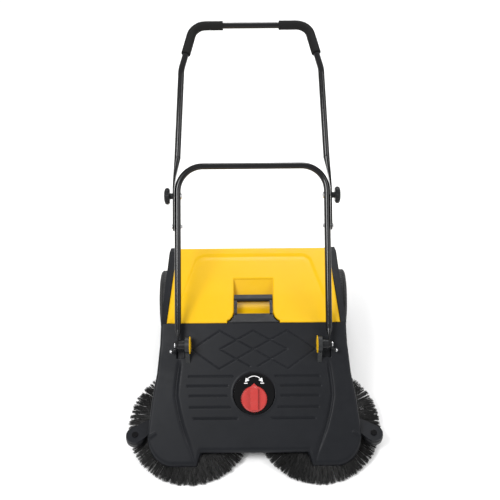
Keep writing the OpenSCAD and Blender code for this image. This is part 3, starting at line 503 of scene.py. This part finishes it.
def front_cover():
    """Moulded skin of the front cover: a grid over the plan with the relief, and a skirt round it."""
    rows_main = np.linspace(REAR_Y, FRONT_Y, 205)
    rows_tip = LOBE_Y + np.array([0.0022, 0.001, 0.0003, 0.0])
    rows_lobe = np.concatenate([np.linspace(FRONT_Y, LOBE_Y + 0.004, 14)[1:], rows_tip])
    side_n, mid_n = 92, 158
    index, faces = {}, []

    def outline():
        ys = np.concatenate([rows_main, rows_lobe])
        right = [(float(cover_half_width(y)), float(y)) for y in ys]
        inner = [(LOBE_IN + LOBE_SLANT, LOBE_Y), (LOBE_IN, FRONT_Y)]
        loop = right + inner
        loop = loop + [(-a, b) for a, b in reversed(loop)]
        return [(loop[i], loop[i + 1]) for i in range(len(loop) - 1)]

    pts = []
    for r, y in enumerate(np.concatenate([rows_main, rows_lobe])):
        w, inner = float(cover_half_width(y)), float(cover_inner(y))
        lobe = r >= len(rows_main)
        left = np.linspace(-w, -inner, side_n + 1)
        middle = np.linspace(-inner, inner, mid_n + 1)[1:-1]
        xs = list(left) + list(middle) + list(-left[::-1])
        for c, x in enumerate(xs):
            if lobe and side_n < c < side_n + mid_n:
                continue
            index[(r, c)] = len(pts)
            pts.append((x, float(y)))
    cols = 2 * side_n + mid_n + 1
    rows = len(rows_main) + len(rows_lobe)
    for r in range(rows - 1):
        for c in range(cols - 1):
            quad = [(r, c), (r + 1, c), (r + 1, c + 1), (r, c + 1)]
            if all(q in index for q in quad):
                if r + 1 >= len(rows_main) and side_n <= c < side_n + mid_n:
                    continue
                faces.append([index[q] for q in quad])
    pts = np.array(pts)
    x, y = pts[:, 0], pts[:, 1]
    s = (REAR_Y - y) / math.cos(SLOPE)
    d = distance_to_segments(x, y, outline())
    relief = cover_relief(x, s)
    # Round recess for the dial plate, with a low rim
    r_well = np.hypot(x, s - DIAL_S)
    relief = np.where(r_well < 0.080, 0.0, relief)
    relief -= 0.0085 * (1 - step((r_well - WELL_R) / 0.0018))
    relief += 0.0012 * np.exp(-(((r_well - 0.0645) / 0.0018) ** 2))
    z = REAR_Z - (REAR_Y - y) * math.tan(SLOPE)
    z = z + relief / math.cos(SLOPE) - edge_drop(d, 0.009)
    mesh = bpy.data.meshes.new("cover_shell")
    mesh.from_pydata([tuple(Vector(v)) for v in zip(x, y, z)], [], faces)
    obj = add_object("cover_shell", mesh)
    drop_border(mesh, lower_skirt)
    thick = obj.modifiers.new("wall", "SOLIDIFY")
    thick.thickness = 0.0032
    thick.offset = -1
    finish_piece(obj, "black_plastic", "chassis", replaced=("front_cover",))
    smooth_by_angle(obj, 42)


# ---------------------------------------------------------------- hopper


def hopper_skin():
    """Moulded top of the hopper: a thin skin with the recessed trapezoid and rolled edges."""
    front_y, rear_y = REAR_Y + 0.0015, REAR_Y + HOPPER_LEN
    rise = HOPPER_RISE / HOPPER_LEN
    flare = ((-0.007, 0.0795), (0.004, 0.0795), (0.0085, 0.072), (0.0185, 0.0645), (0.032, POCKET_HALF))
    flare_y = [HINGE_Y + d for d, w in flare] + [POCKET_REAR]
    flare_w = [w for d, w in flare] + [POCKET_HALF]
    ys = np.unique(np.concatenate([np.linspace(front_y, POCKET_FRONT, 26),
                                   np.linspace(POCKET_FRONT, POCKET_REAR, 62),
                                   np.linspace(POCKET_REAR, rear_y, 60)]))
    side_n, mid_n = 96, 50
    pts, index = [], {}
    for r, y in enumerate(ys):
        w = HOPPER_FRONT + (HOPPER_REAR - HOPPER_FRONT) * (y - front_y) / (rear_y - front_y)
        inner = np.interp(y, flare_y, flare_w)
        left = np.linspace(-w, -inner, side_n + 1)
        xs = list(left) + list(np.linspace(-inner, inner, mid_n + 1)[1:-1]) + list(-left[::-1])
        for c, x in enumerate(xs):
            if y < POCKET_REAR - 1e-6 and side_n < c < side_n + mid_n:
                continue
            index[(r, c)] = len(pts)
            pts.append((x, y))
    faces = []
    for r in range(len(ys) - 1):
        for c in range(2 * side_n + mid_n):
            quad = [(r, c), (r, c + 1), (r + 1, c + 1), (r + 1, c)]
            if ys[r] < POCKET_REAR - 1e-6 and side_n <= c < side_n + mid_n:
                continue
            if all(q in index for q in quad):
                faces.append([index[q] for q in quad])
    pts = np.array(pts)
    x, y = np.abs(pts[:, 0]), pts[:, 1]
    # Signed distance to the trapezoid, negative inside
    top_line, corner = REAR_Y + 0.254, 0.022
    lean = math.atan2(0.045, 0.168)
    d_side = (x - 0.175 - (top_line - y) * math.tan(lean)) * math.cos(lean)
    d_top = y - top_line
    outside = np.hypot(np.maximum(d_side + corner, 0), np.maximum(d_top + corner, 0))
    d = outside + np.minimum(np.maximum(d_side, d_top) + corner, 0) - corner
    h = 0.0032 * step((d + 0.004) / 0.011) + 0.0003
    # Slight crown across the panel, and rolled borders
    h += 0.0016 * (1 - (x / 0.25) ** 2) * (1 - step((d + 0.02) / 0.02))
    w = HOPPER_FRONT + (HOPPER_REAR - HOPPER_FRONT) * (y - front_y) / (rear_y - front_y)
    border = np.minimum(w - x, rear_y - y)
    h -= edge_drop(np.minimum(border, 0.006), 0.006) * 0.9
    front_edge = np.minimum(y - front_y, 0.0025)
    h -= edge_drop(front_edge, 0.0025)
    inner = np.interp(y, flare_y, flare_w)
    behind = np.hypot(np.maximum(x - POCKET_HALF, 0), y - POCKET_REAR)
    to_hole = np.where(y < POCKET_REAR, np.abs(x - inner), behind)
    h -= edge_drop(np.minimum(to_hole, 0.003), 0.003) * 0.8
    z = REAR_Z + (y - REAR_Y) * rise + h
    obj = make_object("hopper_skin", np.column_stack([pts, z]), faces, "yellow_plastic", "hopper")

    def lower_lip(v):
        v.co.z -= 0.004

    drop_border(obj.data, lower_lip)
    smooth_by_angle(obj, 50)


# ---------------------------------------------------------------- bristles


def filaments(name, strands, body, replaced):
    """One mesh of thin tapering filaments; each strand is (points, root radius, tip radius)."""
    sides = 3
    count = len(strands)
    per = len(strands[0][0])
    pts = np.array([s[0] for s in strands])
    r0 = np.array([s[1] for s in strands])
    r1 = np.array([s[2] for s in strands])
    ahead = pts[:, -1] - pts[:, 0]
    ahead /= np.linalg.norm(ahead, axis=1)[:, None]
    upright = np.abs(ahead[:, 2:3]) >= 0.9
    guess = np.where(upright, np.array([[1.0, 0.0, 0.0]]), np.array([[0.0, 0.0, 1.0]]))
    a = np.cross(ahead, guess)
    a /= np.linalg.norm(a, axis=1)[:, None]
    b = np.cross(ahead, a)
    verts = np.empty((count, per, sides, 3))
    for i in range(per):
        r = r0 + (r1 - r0) * i / (per - 1)
        for k in range(sides):
            ang = 2 * math.pi * k / sides
            verts[:, i, k] = pts[:, i] + r[:, None] * (math.cos(ang) * a + math.sin(ang) * b)
    base = np.arange(count)[:, None] * per * sides
    quads = []
    for i in range(per - 1):
        for k in range(sides):
            here, beside = i * sides + k, i * sides + (k + 1) % sides
            quads.append(base + np.array([here, beside, beside + sides, here + sides])[None, :])
    faces = np.stack(quads, axis=1).reshape(-1, 4)
    mesh = bpy.data.meshes.new(name)
    mesh.vertices.add(verts.size // 3)
    mesh.vertices.foreach_set("co", verts.reshape(-1))
    mesh.loops.add(faces.size)
    mesh.loops.foreach_set("vertex_index", faces.reshape(-1).astype(np.int32))
    mesh.polygons.add(len(faces))
    mesh.polygons.foreach_set("loop_start", np.arange(0, faces.size, 4, dtype=np.int32))
    mesh.polygons.foreach_set("loop_total", np.full(len(faces), 4, dtype=np.int32))
    mesh.update(calc_edges=True)
    finish_piece(add_object(name, mesh), "bristle", body, True, replaced)


def disc_brush(side):
    """Three rows of clumps that fan out from the brush plate and bend down to the floor."""
    word = side_word(side)
    spin = joint("brush_" + word + "_spin")
    axis = Vector(spin["axis"])
    if axis.z < 0:
        axis = -axis
    tilt = math.atan2(-axis.y, axis.z)
    lo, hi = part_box("bristles_" + word)
    reach = 0.190
    base_z = reach * math.sin(tilt)
    base_y = spin["pos_m"][1] + (base_z - spin["pos_m"][2]) * -math.tan(tilt)
    plane = Vector(((lo[0] + hi[0]) / 2, base_y, base_z))
    rng = random.Random(11 + side)
    ex = Vector((1, 0, 0))
    ey = axis.cross(ex)
    strands = []
    rows = ((0.076, 0.1899, 0.0), (0.064, 0.186, -0.001), (0.052, 0.178, -0.002))
    clumps, per_clump = 104, 27
    for row, (root_r, tip_r, rise) in enumerate(rows):
        for c in range(clumps):
            a0 = 2 * math.pi * (c + row / 3 + rng.uniform(-0.18, 0.18)) / clumps
            long = rng.uniform(0.0, 0.0025)
            lean = rng.gauss(0, 0.012)
            for _ in range(per_clump):
                a_root = a0 + rng.gauss(0, 0.030)
                a_tip = a0 + lean + rng.gauss(0, 0.0125)
                r_root = root_r + rng.gauss(0, 0.0015)
                r_tip = tip_r - long - abs(rng.gauss(0, 0.0026))
                z_root = 0.0245
                z_tip = min(0.0096, max(0.0012, 0.0050 + rise + rng.gauss(0, 0.0022)))
                pts = []
                for f in (0.0, 0.45, 1.0):
                    a = a_root + (a_tip - a_root) * f ** 0.8
                    r = r_root + (r_tip - r_root) * f
                    z = z_root + (z_tip - z_root) * f + 0.0035 * math.sin(math.pi * f)
                    pts.append(plane + ex * (r * math.cos(a)) + ey * (r * math.sin(a)) + axis * z)
                strands.append((pts, 0.00046, 0.00032))
    filaments("disc_bristles_" + word, strands, "brush_" + word, ("bristles_" + word,))


def roller_brush():
    """Eight straight rows of clumps along the roller."""
    spin = joint("roller_spin")
    centre = Vector(spin["pos_m"])
    rng = random.Random(5)
    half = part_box("roller_bristles")[1][0] - 0.003
    strands = []
    rows, clumps, per_clump = 8, 86, 13
    root_r = 0.029
    for row in range(rows):
        a0 = 2 * math.pi * (row + 0.5) / rows
        for c in range(clumps):
            x0 = -half + 2 * half * (c + 0.5) / clumps
            for _ in range(per_clump):
                x_root = x0 + rng.gauss(0, 0.0012)
                x_tip = x0 + rng.gauss(0, 0.0028)
                a_root = a0 + rng.gauss(0, 0.06)
                a_tip = a0 + rng.gauss(0, 0.055)
                r_tip = 0.0645 - abs(rng.gauss(0, 0.0016))
                pts = [Vector((x, centre.y + r * math.cos(a), centre.z + r * math.sin(a)))
                       for x, r, a in ((x_root, root_r, a_root), (x_tip, r_tip, a_tip))]
                strands.append((pts, 0.0005, 0.0004))
    filaments("roller_filaments", strands, "roller_brush", ("roller_bristles",))


# ---------------------------------------------------------------- handle

LEG_X = 0.2225
TUBE_START = 0.559                      # along the leg, from the pivot
TUBE_R = 0.0095
BEND_S = 0.823
BEND_X = 0.211
BEND_EASE = 0.014                       # how far the bend reaches to each side
FOAM_R = 0.0142
FOAM_LEG = 0.072                        # how far a grip runs down the leg
FOAM_END = 0.086                        # where it ends on the bar
BEND = math.radians(20)
LEAN = math.radians(12)
TOP_Q = 0.166
CORNER_R = 0.046
CORNER_Q = TOP_Q - CORNER_R
CORNER_X = BEND_X - (CORNER_Q + CORNER_R * math.sin(LEAN)) * math.tan(LEAN) - CORNER_R * math.cos(LEAN)


def leg_point(x, y, z=0.0):
    """Point x across, y along the legs from the pivots and z out of their plane."""
    return TILT + Vector((x - TILT.x, 0, 0)) + LEG_DIR * y + LEG_UP * z


def bent_point(x, q):
    """Point x across and q along the upper handle beyond its bend."""
    return leg_point(x, BEND_S + q * math.cos(BEND), -q * math.sin(BEND))


def corner_point(turn):
    """Point of the tube's middle line round the top corner, turn from 0 at the leg to 1 at the bar."""
    a = LEAN + (math.pi / 2 - LEAN) * turn
    return bent_point(CORNER_X + CORNER_R * math.cos(a), CORNER_Q + CORNER_R * math.sin(a))


def upper_tube():
    """Upper handle tube in one smooth sweep from leg to leg."""
    half = [leg_point(LEG_X, TUBE_START - 0.002), leg_point(LEG_X, TUBE_START + 0.002)]
    a, b = leg_point(BEND_X, BEND_S - BEND_EASE), leg_point(BEND_X, BEND_S)
    c = bent_point(BEND_X - BEND_EASE * math.sin(LEAN), BEND_EASE * math.cos(LEAN))
    half += [(1 - t) ** 2 * a + 2 * t * (1 - t) * b + t * t * c for t in spread(0, 1, 13)]
    half += [corner_point(t) for t in spread(0, 1, 33)]
    path = half + [Vector((-p.x, p.y, p.z)) for p in reversed(half)]
    verts, faces = tube(path, TUBE_R, 36)
    make_object("upper_tube_smooth", verts, faces, "upper_tube", "upper_handle", replaced=("upper_handle",))


def foam_grip(side):
    """Soft sleeve: slightly uneven surface and a rounded lip at each end."""
    word = side_word(side)
    sides = 48
    leg_end = corner_point(0) + (bent_point(BEND_X, 0) - corner_point(0)).normalized() * FOAM_LEG
    path = [leg_end.lerp(corner_point(0), t) for t in spread(0, 1, 24)[:-1]]
    path += [corner_point(t) for t in spread(0, 1, 36)]
    bar_end = bent_point(FOAM_END, TOP_Q)
    path += [corner_point(1).lerp(bar_end, t) for t in spread(0, 1, 24)[1:]]
    path = [path[0].lerp(path[1], t) for t in (0, 0.1, 0.25, 0.5)] + path[1:-1]
    path += [path[-1].lerp(bar_end, t) for t in (0.5, 0.75, 0.9, 1.0)]
    radii = [FOAM_R] * len(path)
    for i, drop in enumerate((0.0024, 0.0011, 0.0004, 0.0001)):
        radii[i] = FOAM_R - drop
        radii[-1 - i] = FOAM_R - drop
    if side < 0:
        path = [Vector((-p.x, p.y, p.z)) for p in path]
    verts, faces = tube(path, FOAM_R, sides, radii=radii)
    rng = random.Random(20 + side)
    dents = []
    for _ in range(60):
        dents.append((rng.uniform(0, len(path)), rng.uniform(0, sides), rng.uniform(-0.0002, 0.00025)))

    def push(i, k):
        """Height of all dents and bumps at ring i, corner k."""
        return sum(d * math.exp(-((i - u) / 3.0) ** 2 - (min(abs(k - w), sides - abs(k - w)) / 5.0) ** 2)
                   for u, w, d in dents)

    for i, p in enumerate(path):
        for k in range(sides):
            v = verts[i * sides + k]
            verts[i * sides + k] = v + (v - p).normalized() * push(i, k)
    obj = make_object("foam_sleeve_" + word, verts, faces, "foam", "upper_handle", replaced=("grip_" + word,))
    smooth_by_angle(obj, 60)


def lever_tip(side):
    """Bright domed end of the clamping lever."""
    word = side_word(side)
    lo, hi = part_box("clamp_lever_" + word)
    outer = hi[0] if side > 0 else -lo[0]
    pivot = joint("lever_" + word + "_turn")["pos_m"]
    centre = Vector((outer - 0.003, pivot[1] - 0.0127, pivot[2] - 0.0127))
    verts, faces = [], []
    rings, sides = 8, 28
    depth, width = 0.0058, 0.0062
    for i in range(rings + 1):
        a = math.pi / 2 * i / rings
        for k in range(sides):
            b = 2 * math.pi * k / sides
            verts.append((side * (centre.x + depth * math.sin(a)),
                          centre.y + width * math.cos(a) * math.cos(b),
                          centre.z + width * math.cos(a) * math.sin(b)))
    for i in range(rings):
        for k in range(sides):
            p, q = i * sides + k, i * sides + (k + 1) % sides
            faces.append((p, q, q + sides, p + sides))
    obj = make_object("lever_tip_" + word, verts, faces, "steel", "lever_" + word)
    fix_normals(obj)


# ---------------------------------------------------------------- dial


def dial_print():
    """Raised white mark over the height knob: an arc with an arrow at each end."""
    across = Vector((1, 0, 0))
    up = DIAL_AXIS.cross(across)
    lo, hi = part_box("dial_plate")
    middle = Vector(((lo[0] + hi[0]) / 2, (lo[1] + hi[1]) / 2, (lo[2] + hi[2]) / 2))
    centre = middle + DIAL_AXIS * 0.0016
    thick = 0.0005

    def flat(name, outline):
        """Thin plate with that outline, in millimetres from the dial plate's centre."""
        verts = [centre + across * (u * MM) + up * (v * MM) + DIAL_AXIS * h
                 for h in (0.0, thick) for u, v in outline]
        n = len(outline)
        faces = [tuple(range(n - 1, -1, -1)), tuple(range(n, 2 * n))]
        faces += [(i, (i + 1) % n, n + (i + 1) % n, n + i) for i in range(n)]
        make_object(name, verts, faces, "print", "chassis", smooth=False)

    mid_v, radius, width = 25.0, 25.0, 2.2
    arc = [math.radians(a) for a in np.linspace(42, 138, 25)]
    outer = [((radius + width) * math.cos(a), mid_v + (radius + width) * math.sin(a)) for a in arc]
    inner = [(radius * math.cos(a), mid_v + radius * math.sin(a)) for a in reversed(arc)]
    flat("print_arc", outer + inner)
    for sign, name in ((1, "right"), (-1, "left")):
        tip = (sign * 26.5, 33.5)
        flat("print_arrow_" + name, [tip, (sign * 24.0, 46.5), (sign * 13.5, 39.0)])
        inner, outer, top, bottom = sign * 19.0, sign * 29.5, 31.5, 29.0
        flat("print_bar_" + name, [(inner, top), (outer, top), (outer, bottom), (inner, bottom)])


# ---------------------------------------------------------------- wheels


def tread(side):
    """Tyre with rounded shoulders and shallow slanting tread blocks."""
    word = side_word(side)
    lo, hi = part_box("tyre_" + word)
    centre = (Vector(lo) + Vector(hi)) / 2
    radius, half = (hi[2] - lo[2]) / 2, (hi[0] - lo[0]) / 2
    bore = radius - 0.0215
    shoulder = 0.010
    tread_depth = 0.0016
    profile = [(-half + 0.001, bore)] + [(-half, bore + 0.002 + 0.003 * i) for i in range(4)]
    for a in np.linspace(0, math.pi / 2, 7)[1:]:
        profile.append((-half + shoulder * (1 - math.cos(a)), radius - shoulder + shoulder * math.sin(a)))
    crown = np.linspace(-half + 0.0115, half - 0.0115, 17)
    flat_n = len(profile)
    profile += [(u, radius) for u in crown]
    profile += [(-u, r) for u, r in reversed(profile[:flat_n])]
    around = 540
    verts, faces = [], []
    for k in range(around):
        a = 2 * math.pi * k / around
        for u, r in profile:
            if r > radius - 0.0015 and abs(u) < half - 0.004:
                phase = (k / around * 60 + abs(u) * 45) % 1.0
                if phase < 0.22 or abs(abs(u) - 0.005) < 0.0009:
                    r = r - tread_depth
            verts.append((centre.x + u, centre.y + r * math.cos(a), centre.z + r * math.sin(a)))
    n = len(profile)
    for k in range(around):
        for i in range(n):
            p, q = k * n + i, k * n + (i + 1) % n
            s, t = (k + 1) % around * n + (i + 1) % n, (k + 1) % around * n + i
            faces.append((p, q, s, t))
    obj = make_object("tread_" + word, verts, faces, "tyre_rubber", "wheel_" + word,
                      replaced=("tyre_" + word,))
    fix_normals(obj)
    smooth_by_angle(obj, 35)


# ---------------------------------------------------------------- build

add_camera()
add_stage()
front_cover()
hopper_skin()
roller_brush()
upper_tube()
dial_print()
for side in (-1, 1):
    disc_brush(side)
    foam_grip(side)
    lever_tip(side)
    tread(side)
